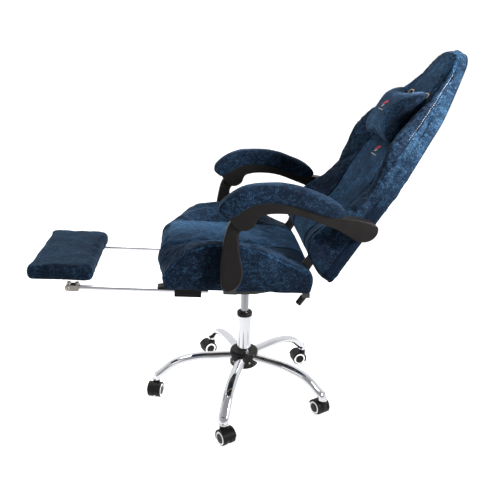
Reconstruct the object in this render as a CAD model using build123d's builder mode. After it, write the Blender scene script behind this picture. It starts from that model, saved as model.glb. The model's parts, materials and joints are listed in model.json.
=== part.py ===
"""Reclining gaming chair with a pull-out, flip-over footrest.

Row frame, millimetres: the origin is on the floor under the gas lift, +Z is up, the chair faces -Y and
+X is the sitter's left. The chair is drawn reclined, raised and with its footrest out.
"""
from build123d import *
import os
from math import cos, radians, sin

os.makedirs("parts", exist_ok=True)

GAP = 0.3  # between parts that only lie side by side
RUN = 0.05  # radial clearance of a turning pin or a sliding rod
LEFT, RIGHT = 1, -1
SIDES = {"left": LEFT, "right": RIGHT}

# Five-star base
BASE_RADIUS = 315.0  # column axis to caster stem
FIRST_ARM = -87.9  # heading of the first arm, degrees from +X
ARM_COUNT = 5
ARM_WIDTH, ARM_HEIGHT, ARM_WALL = 36.0, 26.0, 1.8
ARM_Z = 144.0  # centre line where the arm leaves the hub
ARM_END_Z = 61.3
HUB_R, HUB_BOTTOM, HUB_TOP = 50.0, 108.0, 168.0

# Casters
WHEEL_R, WHEEL_WIDTH = 25.0, 19.0
WEB = 3.5  # half thickness of the web between the wheels
HOOD_R, HOOD_INNER, HOOD_TOP = 28.5, 26.3, 57.9
STEM_R, AXLE_R, TRAIL = 5.5, 4.0, 18.0
CASTER_HEADINGS = (346.0, 30.0, 209.0, 282.0, 295.0)  # from stem to axle, degrees from +X

# Column and gas lift
TUBE_R, TUBE_WALL, TUBE_BOTTOM, TUBE_TOP = 25.0, 1.5, 124.0, 301.0
COLLAR_R, COLLAR_TOP = 27.0, 316.0
PISTON_R, PISTON_BOTTOM, PISTON_TOP = 14.0, 196.0, 446.0

# Tilt mechanism
HOUSING_BOTTOM = 403.0
HOUSING_HALF = 58.0
TILT_PIN = (-85.0, 455.0)  # y, z
TILT_PIN_R = 6.0
CHEEK = 62.0  # inner face of the top plate's cheeks
KNOB_Y, KNOB_R = -92.0, 20.0
LEVER_Y, LEVER_Z, LEVER_R, LEVER_PIN_R = 10.0, 422.0, 4.0, 3.0

# Seat frame: local a runs rearward along the seat, b up from the board's top
SEAT_TILT = 2.7
SEAT_Z = 502.5
SEAT_HALF = 250.0
CENTRE_HALF = 125.0
BOARD_HALF, BOARD_FRONT, BOARD_REAR, BOARD_T = 215.0, -236.0, 178.0, 12.0
PLATE_T = 4.0

# Footrest, in the seat's own frame
ROD_X, ROD_R, ROD_B = 192.0, 7.0, -36.0
ROD_REAR = -130.0
FLIP_A = -561.0  # hinge pin of the footrest
FLIP_PIN_R = 4.0
GUIDE_FRONT, GUIDE_REAR, GUIDE_DROP = -235.0, -151.0, 14.5
PAD_HALF, PAD_FRONT, PAD_REAR = 194.0, -131.0, 74.0  # from the hinge pin
PAD_BOTTOM, PAD_TOP = 17.5, 63.5

# Backrest: local s runs up the back from its lower rear edge, t forward from its rear face
RECLINE = 32.9  # from vertical
BACK_Y, BACK_Z = 244.0, 522.0
BACK_HALF = 250.0
COVER_INSET = 8.0
COVER_T, FRAME_FROM, FRAME_TO, FOAM_FROM = 5.0, 7.0, 19.0, 21.0
CENTRE_X, CREST_X = 120.0, 226.0
SLOT_X = (199.0, 218.0)  # room in the bolsters for the recline hinge
HINGE = (190.0, 588.0)  # recline pivot, y, z
HINGE_R = 6.0
STRAP_X, STRAP_S = 70.0, 622.0  # slots of the pillow's strap
STRAP_BEHIND = -7.2  # rear face of the strap, behind the cover
PILLOW_HALF, PILLOW_LOW, PILLOW_HIGH = 136.0, 438.0, 614.0

# Armrests
ARM_IN, ARM_OUT = 256.0, 300.0
UPRIGHT_IN, UPRIGHT_OUT = 263.0, 293.0
UPRIGHT_EDGE, SHELL_EDGE = 7.0, 2.5
POCKET_IN, POCKET_OUT = 259.5, 296.5
FOOT_PIVOT = (-64.0, 545.0)
REAR_PIVOT = (196.0, 13.0)  # s, t on the back frame
ARM_PIN_R = 5.5

# Recline lever
PULL_PIVOT = (174.0, 472.0)
PULL_X = 225.0


def side(x):
    """Upright plane across the chair at x: local axes are Y and Z."""
    return Plane.YZ.offset(x)


def seat_side(x):
    c, s = cos(radians(SEAT_TILT)), sin(radians(SEAT_TILT))
    return Plane(origin=(x, 0, SEAT_Z), x_dir=(0, c, -s), z_dir=(1, 0, 0))


def seat_flat(b):
    c, s = cos(radians(SEAT_TILT)), sin(radians(SEAT_TILT))
    return Plane(origin=(0, b * s, SEAT_Z + b * c), x_dir=(1, 0, 0), z_dir=(0, s, c))


def seat_cross(a):
    """Plane square to the seat at a, looking forward: local axes are X and b."""
    c, s = cos(radians(SEAT_TILT)), sin(radians(SEAT_TILT))
    return Plane(origin=(0, a * c, SEAT_Z - a * s), x_dir=(1, 0, 0), z_dir=(0, -c, s))


def back_side(x):
    c, s = cos(radians(RECLINE)), sin(radians(RECLINE))
    return Plane(origin=(x, BACK_Y, BACK_Z), x_dir=(0, s, c), z_dir=(1, 0, 0))


def back_cross(s):
    """Plane square to the back at height s: local axes are X and t."""
    c, n = cos(radians(RECLINE)), sin(radians(RECLINE))
    return Plane(origin=(0, BACK_Y + s * n, BACK_Z + s * c), x_dir=(-1, 0, 0), z_dir=(0, n, c))


def back_flat(t):
    c, s = cos(radians(RECLINE)), sin(radians(RECLINE))
    return Plane(
        origin=(0, BACK_Y - t * c, BACK_Z + t * s), x_dir=(1, 0, 0), z_dir=(0, -c, s)
    )


def back_point(s, t):
    """World y, z of a point on the back."""
    c, n = cos(radians(RECLINE)), sin(radians(RECLINE))
    return (BACK_Y + s * n - t * c, BACK_Z + s * c + t * n)


def on_back(y, z):
    """s, t of a world point."""
    c, n = cos(radians(RECLINE)), sin(radians(RECLINE))
    dy, dz = y - BACK_Y, z - BACK_Z
    return (dy * n + dz * c, dz * n - dy * c)


# ---------------------------------------------------------------- base
arm_headings = [FIRST_ARM + 360 / ARM_COUNT * k for k in range(ARM_COUNT)]


def radial(heading):
    """Upright plane through the column: local axes are radius and Z."""
    c, s = cos(radians(heading)), sin(radians(heading))
    return Plane(origin=(0, 0, 0), x_dir=(c, s, 0), z_dir=(s, -c, 0))


def arm_root(heading, r):
    """Plane square to an arm at radius r: local axes are sideways and Z."""
    c, s = cos(radians(heading)), sin(radians(heading))
    return Plane(origin=(r * c, r * s, ARM_Z), x_dir=(-s, c, 0), z_dir=(c, s, 0))


with BuildPart() as base_hub:
    with BuildSketch(Plane.XY.offset(HUB_BOTTOM)):
        Circle(HUB_R)
    extrude(amount=HUB_TOP - HUB_BOTTOM)
    chamfer(base_hub.edges().filter_by(GeomType.CIRCLE), 5)
    with BuildSketch(Plane.XY.offset(HUB_BOTTOM)):
        Circle(TUBE_R - 4)
    extrude(amount=HUB_TOP - HUB_BOTTOM, mode=Mode.SUBTRACT)
    with BuildSketch(Plane.XY.offset(TUBE_BOTTOM)):
        Circle(TUBE_R)
    extrude(amount=HUB_TOP - TUBE_BOTTOM, mode=Mode.SUBTRACT)
    for heading in arm_headings:
        with BuildSketch(arm_root(heading, 36)):
            Ellipse(ARM_WIDTH / 2, ARM_HEIGHT / 2)
        extrude(amount=30, mode=Mode.SUBTRACT)
base_hub.part.label = "base_hub"
export_step(base_hub.part, "parts/base_hub.step")

for number, heading in enumerate(arm_headings, 1):
    stem_x = BASE_RADIUS * cos(radians(heading))
    stem_y = BASE_RADIUS * sin(radians(heading))
    with BuildPart() as base_arm:
        with BuildLine(radial(heading)) as outer:
            root = Line((36, ARM_Z), (130, ARM_Z))
            Spline(
                root @ 1,
                (205, 136),
                (264, 112),
                (301, 81),
                (312, ARM_END_Z),
                tangents=((1, 0), (0, -1)),
            )
        with BuildSketch(arm_root(heading, 36)):
            Ellipse(ARM_WIDTH / 2, ARM_HEIGHT / 2)
        sweep(path=outer.wires()[0])
        with BuildLine(radial(heading)) as inner:
            root = Line((36, ARM_Z), (130, ARM_Z))
            Spline(root @ 1, (205, 136), (264, 112), tangents=((1, 0), (0.80, -0.60)))
        with BuildSketch(arm_root(heading, 36)):
            Ellipse(ARM_WIDTH / 2 - ARM_WALL, ARM_HEIGHT / 2 - ARM_WALL)
        sweep(path=inner.wires()[0], mode=Mode.SUBTRACT)
        with BuildSketch(Plane((stem_x, stem_y, ARM_END_Z))):
            Circle(11)
        extrude(amount=10)
        with BuildSketch(Plane((stem_x, stem_y, ARM_END_Z))):
            Circle(STEM_R + RUN)
        extrude(amount=24, mode=Mode.SUBTRACT)
    base_arm.part.label = f"base_arm_{number}"
    export_step(base_arm.part, f"parts/base_arm_{number}.step")

with BuildPart() as caster_washers:
    for heading in arm_headings:
        stem_x = BASE_RADIUS * cos(radians(heading))
        stem_y = BASE_RADIUS * sin(radians(heading))
        with BuildSketch(Plane((stem_x, stem_y, HOOD_TOP + GAP))):
            Circle(14)
            Circle(STEM_R + 0.4, mode=Mode.SUBTRACT)
        extrude(amount=ARM_END_Z - HOOD_TOP - GAP)
caster_washers.part.label = "caster_washers"
export_step(caster_washers.part, "parts/caster_washers.step")

with BuildPart() as column_tube:
    with BuildSketch(Plane.XY.offset(TUBE_BOTTOM)):
        Circle(TUBE_R)
        Circle(TUBE_R - TUBE_WALL, mode=Mode.SUBTRACT)
    extrude(amount=TUBE_TOP - TUBE_BOTTOM)
column_tube.part.label = "column_tube"
export_step(column_tube.part, "parts/column_tube.step")

with BuildPart() as column_collar:
    with BuildSketch(Plane.XY.offset(TUBE_TOP - 40)):
        Circle(TUBE_R - TUBE_WALL)
    extrude(amount=40)
    with BuildSketch(Plane.XY.offset(TUBE_TOP)):
        Circle(COLLAR_R)
    extrude(amount=COLLAR_TOP - TUBE_TOP)
    chamfer(column_collar.faces().sort_by(Axis.Z)[-1].edges(), 3)
    with BuildSketch(Plane.XY.offset(TUBE_TOP - 40)):
        Circle(PISTON_R + RUN)
    extrude(amount=60, mode=Mode.SUBTRACT)
column_collar.part.label = "column_collar"
export_step(column_collar.part, "parts/column_collar.step")

with BuildPart() as gas_piston:
    with BuildSketch(Plane.XY.offset(PISTON_BOTTOM)):
        Circle(PISTON_R)
    extrude(amount=PISTON_TOP - PISTON_BOTTOM)
    chamfer(gas_piston.edges().filter_by(GeomType.CIRCLE), 1.5)
gas_piston.part.label = "gas_piston"
export_step(gas_piston.part, "parts/gas_piston.step")

# ---------------------------------------------------------------- casters
for number, (heading, turn) in enumerate(zip(arm_headings, CASTER_HEADINGS), 1):
    stem_x = BASE_RADIUS * cos(radians(heading))
    stem_y = BASE_RADIUS * sin(radians(heading))
    ahead = Vector(cos(radians(turn)), sin(radians(turn)), 0)
    across = Vector(ahead.Y, -ahead.X, 0)
    axle_point = Vector(stem_x, stem_y, WHEEL_R) + ahead * TRAIL

    def wheel_plane(offset):
        """Plane beside the caster's web: local axes are ahead and up, from the axle."""
        return Plane(origin=axle_point + across * offset, x_dir=ahead, z_dir=across)

    half = WEB + 0.5 + WHEEL_WIDTH
    with BuildPart() as hood:
        with BuildSketch(wheel_plane(-half)):
            Circle(HOOD_R)
            with BuildLine():
                Polyline((60, 20), (-60, -30), (-60, -60), (60, -60), close=True)
            make_face(mode=Mode.SUBTRACT)
        extrude(amount=2 * half)
        with BuildSketch(Plane((stem_x, stem_y, WHEEL_R))):
            Circle(12)
        extrude(amount=HOOD_TOP - WHEEL_R)
        for start in (WEB, -half - 5):
            with BuildSketch(wheel_plane(start)):
                Circle(HOOD_INNER)
            extrude(amount=half + 5 - WEB, mode=Mode.SUBTRACT)
        with BuildSketch(wheel_plane(-WEB)):
            Circle(HOOD_INNER - 4)
        extrude(amount=2 * WEB)
        with BuildSketch(wheel_plane(-WEB)):
            Circle(AXLE_R)
        extrude(amount=2 * WEB, mode=Mode.SUBTRACT)
        with BuildSketch(Plane((stem_x, stem_y, HOOD_TOP - 12))):
            Circle(STEM_R)
        extrude(amount=12, mode=Mode.SUBTRACT)
    hood.part.label = f"caster_{number}_hood"
    export_step(hood.part, f"parts/caster_{number}_hood.step")

    with BuildPart() as pins:
        with BuildSketch(Plane((stem_x, stem_y, HOOD_TOP - 12))):
            Circle(STEM_R)
        extrude(amount=38)
        with BuildSketch(wheel_plane(1 - half)):
            Circle(AXLE_R)
        extrude(amount=2 * half - 2)
    pins.part.label = f"caster_{number}_pins"
    export_step(pins.part, f"parts/caster_{number}_pins.step")

    for letter, start in (("a", WEB + 0.5), ("b", -half)):
        with BuildPart() as wheel:
            with BuildSketch(wheel_plane(start)):
                Circle(WHEEL_R)
            extrude(amount=WHEEL_WIDTH)
            fillet(wheel.edges().filter_by(GeomType.CIRCLE), 3)
            with BuildSketch(wheel_plane(start)):
                Circle(AXLE_R + RUN)
            extrude(amount=WHEEL_WIDTH, mode=Mode.SUBTRACT)
        wheel.part.label = f"caster_{number}_wheel_{letter}"
        export_step(wheel.part, f"parts/caster_{number}_wheel_{letter}.step")

# ---------------------------------------------------------------- tilt mechanism
housing_side = (
    (-118, 440),
    (-118, 468),
    (-50, 468),
    (80, 440),
    (80, 411),
    (30, HOUSING_BOTTOM),
    (-40, HOUSING_BOTTOM),
    (-64, 440),
)
with BuildPart() as tilt_housing:
    with BuildSketch(side(-HOUSING_HALF)):
        with BuildLine():
            Polyline(*housing_side, close=True)
        make_face()
    extrude(amount=2 * HOUSING_HALF)
    with BuildSketch(side(3 - HOUSING_HALF)):
        with BuildLine():
            Polyline(
                (-115, 443),
                (-115, 480),
                (77, 480),
                (77, 414),
                (30, HOUSING_BOTTOM + 3),
                (-39, HOUSING_BOTTOM + 3),
                (-62, 443),
                close=True,
            )
        make_face()
    extrude(amount=2 * HOUSING_HALF - 6, mode=Mode.SUBTRACT)
    with BuildSketch(Plane.XY.offset(HOUSING_BOTTOM)):
        Circle(PISTON_R + 6)
    extrude(amount=PISTON_TOP - HOUSING_BOTTOM)
    with BuildSketch(Plane.XY.offset(HOUSING_BOTTOM - 5)):
        Circle(PISTON_R + RUN)
    extrude(amount=60, mode=Mode.SUBTRACT)
    with BuildSketch(side(-HOUSING_HALF)):
        with Locations(TILT_PIN):
            Circle(TILT_PIN_R)
    extrude(amount=2 * HOUSING_HALF, mode=Mode.SUBTRACT)
    with BuildSketch(side(-HOUSING_HALF)):
        with Locations((LEVER_Y, LEVER_Z)):
            Circle(LEVER_R + 3)
    extrude(amount=3, mode=Mode.SUBTRACT)
    with BuildSketch(Plane.XY.offset(440)):
        with Locations((0, KNOB_Y)):
            Circle(4.5)
    extrude(amount=3, mode=Mode.SUBTRACT)
    # two ears inside the wall that hold the height lever's cross pin
    with BuildSketch(Plane.XY.offset(LEVER_Z - 7)):
        with Locations((-50, LEVER_Y - 9), (-50, LEVER_Y + 9)):
            Rectangle(10, 4)
    extrude(amount=14)
    with BuildSketch(Plane.XZ.offset(-LEVER_Y - 13)):
        with Locations((-50, LEVER_Z)):
            Circle(LEVER_PIN_R + RUN)
    extrude(amount=26, mode=Mode.SUBTRACT)
tilt_housing.part.label = "tilt_housing"
export_step(tilt_housing.part, "parts/tilt_housing.step")

with BuildPart() as tilt_hardware:
    with BuildSketch(side(-CHEEK - 10)):
        with Locations(TILT_PIN):
            Circle(TILT_PIN_R)
    extrude(amount=2 * CHEEK + 20)
    # the tension spring, drawn as a sleeve round the knob's bolt
    with BuildSketch(Plane.XY.offset(443.3)):
        with Locations((0, KNOB_Y)):
            Circle(8)
            Circle(4.5, mode=Mode.SUBTRACT)
    extrude(amount=5)
tilt_hardware.part.label = "tilt_hardware"
export_step(tilt_hardware.part, "parts/tilt_hardware.step")

with BuildPart() as tension_knob:
    with BuildSketch(Plane.XY.offset(412)):
        with Locations((0, KNOB_Y)):
            Circle(KNOB_R)
            with PolarLocations(KNOB_R + 2, 8):
                Circle(4.5, mode=Mode.SUBTRACT)
    extrude(amount=26)
    with BuildSketch(Plane.XY.offset(438)):
        with Locations((0, KNOB_Y)):
            Circle(4)
    extrude(amount=6)
tension_knob.part.label = "tension_knob"
export_step(tension_knob.part, "parts/tension_knob.step")

with BuildPart() as height_lever:
    with BuildSketch(side(-230)):
        with Locations((LEVER_Y, LEVER_Z)):
            Circle(LEVER_R)
    extrude(amount=185)
    with BuildSketch(Plane.XY.offset(LEVER_Z - 4)):
        with Locations((-225, LEVER_Y)):
            RectangleRounded(70, 30, 10)
    extrude(amount=8)
    with BuildSketch(Plane.XZ.offset(-LEVER_Y - 13)):
        with Locations((-50, LEVER_Z)):
            Circle(LEVER_PIN_R)
    extrude(amount=26)
height_lever.part.label = "height_lever"
export_step(height_lever.part, "parts/height_lever.step")

with BuildPart() as tilt_top_plate:
    with BuildSketch(seat_flat(-BOARD_T - PLATE_T)):
        with Locations((0, -10)):
            RectangleRounded(200, 240, 12)
    extrude(amount=PLATE_T)
    for start in (CHEEK, -CHEEK - 4):
        with BuildSketch(side(start)):
            with BuildLine():
                Polyline((-120, 490), (-100, 452), (-70, 452), (-20, 486), (-20, 490), close=True)
            make_face()
            with Locations(TILT_PIN):
                Circle(15)
            with Locations(TILT_PIN):
                Circle(TILT_PIN_R + RUN, mode=Mode.SUBTRACT)
        extrude(amount=4)
tilt_top_plate.part.label = "tilt_top_plate"
export_step(tilt_top_plate.part, "parts/tilt_top_plate.step")

# ---------------------------------------------------------------- seat
with BuildPart() as seat_board:
    with BuildSketch(seat_flat(-BOARD_T)):
        with Locations((0, (BOARD_FRONT + BOARD_REAR) / 2)):
            RectangleRounded(2 * BOARD_HALF, BOARD_REAR - BOARD_FRONT, 25)
    extrude(amount=BOARD_T)
seat_board.part.label = "seat_board"
export_step(seat_board.part, "parts/seat_board.step")

SEAT_FRONT_LOW, SEAT_REAR_LOW = (-262.0, 515.3), (186.0, 494.2)
CENTRE_TOP = (
    (-284, 532),
    (-292, 562),
    (-280, 594),
    (-240, 609),
    (-111, 610),
    (33, 601),
    (100, 596),
    (140, 590),
    (168, 577),
    (186, 558),
    (192, 535),
    (192, 512),
)
WING_TOP = (
    (-272, 538),
    (-258, 567),
    (-223, 604),
    (-182, 638),
    (-136, 652),
    (-92, 656),
    (-38, 650),
    (29, 632),
    (70, 612),
    (115, 590),
    (150, 573),
    (180, 557),
    (192, 535),
    (192, 512),
)


def seat_profile(top):
    """Closed side outline of the seat, from its front lower edge over the top to the rear."""
    with BuildLine() as outline:
        over = Spline(SEAT_FRONT_LOW, *top, SEAT_REAR_LOW)
        Line(over @ 1, over @ 0)
    return outline.line


with BuildPart() as seat_cushion:
    with BuildSketch(side(-CENTRE_HALF + GAP)):
        with BuildLine():
            add(seat_profile(CENTRE_TOP))
        make_face()
    extrude(amount=2 * (CENTRE_HALF - GAP))
seat_cushion.part.label = "seat_cushion"
export_step(seat_cushion.part, "parts/seat_cushion.step")

for name, sign in SIDES.items():
    with BuildPart() as seat_wing:
        with BuildSketch(side(sign * CENTRE_HALF)):
            with BuildLine():
                add(seat_profile(CENTRE_TOP))
            make_face()
        with BuildSketch(side(sign * CREST_X)):
            with BuildLine():
                add(seat_profile(WING_TOP))
            make_face()
        loft()
        with BuildSketch(side(sign * CREST_X)):
            with BuildLine():
                add(seat_profile(WING_TOP))
            make_face()
        extrude(amount=sign * (SEAT_HALF - CREST_X))
        with BuildSketch(side(sign * 201)):
            with Locations((180, 560)):
                Rectangle(150, 160)
        extrude(amount=sign * 10, mode=Mode.SUBTRACT)
    seat_wing.part.label = f"seat_wing_{name}"
    export_step(seat_wing.part, f"parts/seat_wing_{name}.step")

with BuildPart() as side_brackets:
    for sign in SIDES.values():
        # recline plate, standing on the rear of the board, and its pin
        with BuildSketch(side(sign * 203)):
            with BuildLine():
                Polyline(
                    (118, 497.3),
                    (150, 560),
                    (HINGE[0] - 12, HINGE[1] + 8),
                    (HINGE[0] + 13, HINGE[1] - 7),
                    (176, 535),
                    (176, 494.6),
                    close=True,
                )
            make_face()
            with Locations(HINGE):
                Circle(15)
        extrude(amount=sign * 5)
        with BuildSketch(side(sign * 200)):
            with Locations(HINGE):
                Circle(HINGE_R)
        extrude(amount=sign * 16)
        # armrest bracket, bent up outside the cushion from under the board, and its pin
        with BuildSketch(side(sign * 252)):
            with BuildLine():
                Polyline((-86, 489), (-86, 560), (-46, 560), (-46, 487), close=True)
            make_face()
        extrude(amount=sign * 4)
        with BuildSketch(seat_flat(-BOARD_T - PLATE_T)):
            with Locations((sign * 206, -66)):
                Rectangle(100, 40)
        extrude(amount=PLATE_T)
        with BuildSketch(side(sign * 252)):
            with Locations(FOOT_PIVOT):
                Circle(ARM_PIN_R)
        extrude(amount=sign * 34)
    # lug and pin of the recline lever
    with BuildSketch(seat_flat(-BOARD_T - 2.3)):
        with Locations((222, 172)):
            Rectangle(34, 24)
    extrude(amount=2)
    with BuildSketch(side(PULL_X + 11)):
        with BuildLine():
            Polyline((160, 482), (160, 466), (184, 466), (184, 481), close=True)
        make_face()
    extrude(amount=3)
    with BuildSketch(side(PULL_X - 6)):
        with Locations(PULL_PIVOT):
            Circle(3)
    extrude(amount=20)
side_brackets.part.label = "side_brackets"
export_step(side_brackets.part, "parts/side_brackets.step")

with BuildPart() as footrest_guides:
    for sign in SIDES.values():
        with BuildSketch(seat_side(sign * (ROD_X - 17))):
            with BuildLine():
                Polyline(
                    (GUIDE_FRONT, ROD_B - GUIDE_DROP),
                    (GUIDE_FRONT, ROD_B + 11),
                    (-288, ROD_B + 11),
                    (-288, ROD_B + 14),
                    (GUIDE_FRONT, -BOARD_T),
                    (GUIDE_REAR, -BOARD_T),
                    (GUIDE_REAR, ROD_B - GUIDE_DROP),
                    close=True,
                )
            make_face()
        extrude(amount=sign * 34)
        with BuildSketch(seat_cross(GUIDE_FRONT - 1)):
            with Locations((sign * ROD_X, ROD_B)):
                Circle(ROD_R + RUN)
        extrude(amount=GUIDE_FRONT - GUIDE_REAR - 2, mode=Mode.SUBTRACT)
footrest_guides.part.label = "footrest_guides"
export_step(footrest_guides.part, "parts/footrest_guides.step")

# ---------------------------------------------------------------- footrest
with BuildPart() as footrest_rods:
    for sign in SIDES.values():
        with BuildSketch(seat_cross(FLIP_A)):
            with Locations((sign * ROD_X, ROD_B)):
                Circle(ROD_R)
        extrude(amount=FLIP_A - ROD_REAR)
        with BuildSketch(seat_side(sign * (ROD_X - 7))):
            with Locations((FLIP_A, ROD_B)):
                Circle(ROD_R)
        extrude(amount=sign * 14)
        with BuildSketch(seat_side(sign * (ROD_X - 7))):
            with Locations((FLIP_A, ROD_B)):
                Circle(FLIP_PIN_R + RUN)
        extrude(amount=sign * 14, mode=Mode.SUBTRACT)
footrest_rods.part.label = "footrest_rods"
export_step(footrest_rods.part, "parts/footrest_rods.step")

with BuildPart() as footrest_brackets:
    for sign in SIDES.values():
        # a channel open downwards, over the rod's eye, with spacers up to the board
        with BuildSketch(seat_side(sign * (ROD_X - 13))):
            with Locations((FLIP_A + 13, ROD_B + 1)):
                RectangleRounded(42, 18, 6)
        extrude(amount=sign * 26)
        with BuildSketch(seat_side(sign * (ROD_X - 7.5))):
            with Locations((FLIP_A + 13, ROD_B - 12)):
                Rectangle(60, 40)
        extrude(amount=sign * 15, mode=Mode.SUBTRACT)
        with BuildSketch(seat_side(sign * (ROD_X - 15))):
            with Locations((FLIP_A, ROD_B)):
                Circle(FLIP_PIN_R)
        extrude(amount=sign * 30)
        with BuildSketch(seat_flat(ROD_B + 9)):
            with Locations((sign * ROD_X, FLIP_A + 2), (sign * ROD_X, FLIP_A + 27)):
                Circle(6)
        extrude(amount=PAD_BOTTOM - 9)
footrest_brackets.part.label = "footrest_brackets"
export_step(footrest_brackets.part, "parts/footrest_brackets.step")

pad_middle = FLIP_A + (PAD_FRONT + PAD_REAR) / 2
with BuildPart() as footrest_board:
    with BuildSketch(seat_flat(ROD_B + PAD_BOTTOM)):
        with Locations((0, pad_middle)):
            RectangleRounded(2 * PAD_HALF - 12, PAD_REAR - PAD_FRONT - 12, 18)
    extrude(amount=4)
footrest_board.part.label = "footrest_board"
export_step(footrest_board.part, "parts/footrest_board.step")

with BuildPart() as footrest_pad:
    with BuildSketch(seat_flat(ROD_B + PAD_BOTTOM + 4)):
        with Locations((0, pad_middle)):
            RectangleRounded(2 * PAD_HALF, PAD_REAR - PAD_FRONT, 24)
    extrude(amount=PAD_TOP - PAD_BOTTOM - 4)
    fillet(footrest_pad.faces().sort_by(Axis.Z)[-1].edges(), 17)
    fillet(footrest_pad.faces().sort_by(Axis.Z)[0].edges(), 9)
footrest_pad.part.label = "footrest_pad"
export_step(footrest_pad.part, "parts/footrest_pad.step")

# ---------------------------------------------------------------- recline lever
with BuildPart() as recline_lever:
    with BuildSketch(side(PULL_X - 6)):
        with Locations(PULL_PIVOT):
            Circle(6.5)
        with BuildLine():
            Polyline((169, 474), (179, 469), (168, 452), (158, 457), close=True)
        make_face()
        with Locations(PULL_PIVOT):
            Circle(3 + RUN, mode=Mode.SUBTRACT)
    extrude(amount=12)
    with BuildSketch(Plane(origin=(PULL_X, 166.5, 466), x_dir=(1, 0, 0), z_dir=(0, -0.55, -0.835))):
        Circle(10)
    extrude(amount=30)
    with BuildSketch(side(PULL_X - 6)):
        with Locations(PULL_PIVOT):
            Circle(3 + RUN)
    extrude(amount=20, mode=Mode.SUBTRACT)
recline_lever.part.label = "recline_lever"
export_step(recline_lever.part, "parts/recline_lever.step")

# ---------------------------------------------------------------- backrest
HALF_WIDTHS = (
    (300, 250),
    (345, 247),
    (409, 237),
    (510, 213),
    (577, 195),
    (657, 150),
    (727, 105),
    (764, 78),
    (790, 40),
)
BACK_LOW, BACK_TOP = -9.0, 800.0
SEAM = (
    (-20, 122),
    (180, 122),
    (250, 134),
    (330, 148),
    (400, 140),
    (480, 124),
    (600, 112),
    (700, 96),
    (760, 84),
    (820, 76),
)


def back_outline(inset):
    """Closed outline of the back, shrunk by inset: local x across, y up the back."""
    edge = [(x - inset, s - inset * 0.45) for s, x in HALF_WIDTHS]
    low, half = BACK_LOW + inset, BACK_HALF - inset
    corner = 32.0
    with BuildLine() as outline:
        Line((0, low), (half - corner, low))
        RadiusArc((half - corner, low), (half, low + corner), -corner)
        Line((half, low + corner), edge[0])
        Spline(*edge, (0, BACK_TOP - inset), tangents=((0, 1), (-1, 0)))
        mirror(about=Plane.YZ)
    return outline.line


def seam_outline(inset):
    """Closed outline of the centre panel between the two curved seams, shrunk by inset."""
    with BuildLine() as outline:
        edge = Spline(*[(x - inset, s) for s, x in SEAM])
        Line((0, SEAM[0][0]), edge @ 0)
        Line(edge @ 1, (0, SEAM[-1][0]))
        mirror(about=Plane.YZ)
    return outline.line


BACK_CENTRE = (
    (BACK_LOW, FOAM_FROM),
    (-4, 42),
    (7, 62),
    (20, 84),
    (38, 104),
    (70, 114),
    (110, 107),
    (150, 78),
    (195, 50),
    (262, 43),
    (400, 43),
    (520, 42),
    (600, 42),
    (660, 41),
    (740, 41),
    (782, 38),
    (799, FOAM_FROM),
)
BACK_CREST = (
    (BACK_LOW, FOAM_FROM),
    (-4, 42),
    (7, 64),
    (20, 90),
    (36, 114),
    (60, 129),
    (100, 129),
    (140, 117),
    (214, 87),
    (280, 67),
    (333, 69),
    (380, 82),
    (427, 98),
    (474, 103),
    (530, 93),
    (575, 74),
    (620, 54),
    (660, 42),
    (700, 34),
    (725, FOAM_FROM),
)


def back_profile(front):
    """Closed side outline of the back's foam: local x up the back, y forward."""
    with BuildLine() as outline:
        over = Spline(*front)
        Line(over @ 1, over @ 0)
    return outline.line


COVER_BACK = (
    (BACK_LOW, COVER_T),
    (-4, -3),
    (60, -6),
    (250, -9),
    (450, -9),
    (620, -5),
    (760, -1),
    (790, COVER_T),
)

with BuildPart() as back_rear_cover:
    with BuildSketch(back_side(-BACK_HALF)):
        with BuildLine():
            add(back_profile(COVER_BACK))
        make_face()
    extrude(amount=2 * BACK_HALF)
    with BuildSketch(back_flat(-20)):
        with BuildLine():
            add(back_outline(COVER_INSET))
        make_face()
    extrude(amount=40, mode=Mode.INTERSECT)
    with BuildSketch(back_flat(-20)):
        with Locations((STRAP_X, STRAP_S), (-STRAP_X, STRAP_S)):
            SlotOverall(36, 14)
    extrude(amount=40, mode=Mode.SUBTRACT)
back_rear_cover.part.label = "back_rear_cover"
export_step(back_rear_cover.part, "parts/back_rear_cover.step")

with BuildPart() as back_frame:
    with BuildSketch(back_flat(FRAME_FROM)):
        with BuildLine():
            add(back_outline(14))
        make_face()
        with BuildLine():
            add(back_outline(32))
        make_face(mode=Mode.SUBTRACT)
        for height, width in ((150, 450), (330, 450), (520, 400)):
            with Locations((0, height)):
                Rectangle(width, 16)
    extrude(amount=FRAME_TO - FRAME_FROM)
back_frame.part.label = "back_frame"
export_step(back_frame.part, "parts/back_frame.step")

hinge_st = on_back(*HINGE)
with BuildPart() as back_hinge_plates:
    for sign in SIDES.values():
        # steel plate beside the seat's recline plate, run back to the frame
        with BuildSketch(back_side(sign * 209)):
            with BuildLine():
                Polyline(
                    (hinge_st[0] - 8, hinge_st[1] + 14),
                    (hinge_st[0] + 13, hinge_st[1] + 10),
                    (120, 24),
                    (120, FRAME_TO + GAP),
                    (34, FRAME_TO + GAP),
                    (12, 50),
                    close=True,
                )
            make_face()
            with Locations(hinge_st):
                Circle(17)
            with Locations(hinge_st):
                Circle(HINGE_R + RUN, mode=Mode.SUBTRACT)
        extrude(amount=sign * 5)
        # block and pin that carry the armrest's rear end
        with BuildSketch(back_side(sign * 238)):
            with Locations((REAR_PIVOT[0], 13)):
                Rectangle(40, 11.4)
        extrude(amount=sign * 14)
        with BuildSketch(back_side(sign * 240)):
            with Locations(REAR_PIVOT):
                Circle(ARM_PIN_R)
        extrude(amount=sign * 46)
back_hinge_plates.part.label = "back_hinge_plates"
export_step(back_hinge_plates.part, "parts/back_hinge_plates.step")

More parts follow.
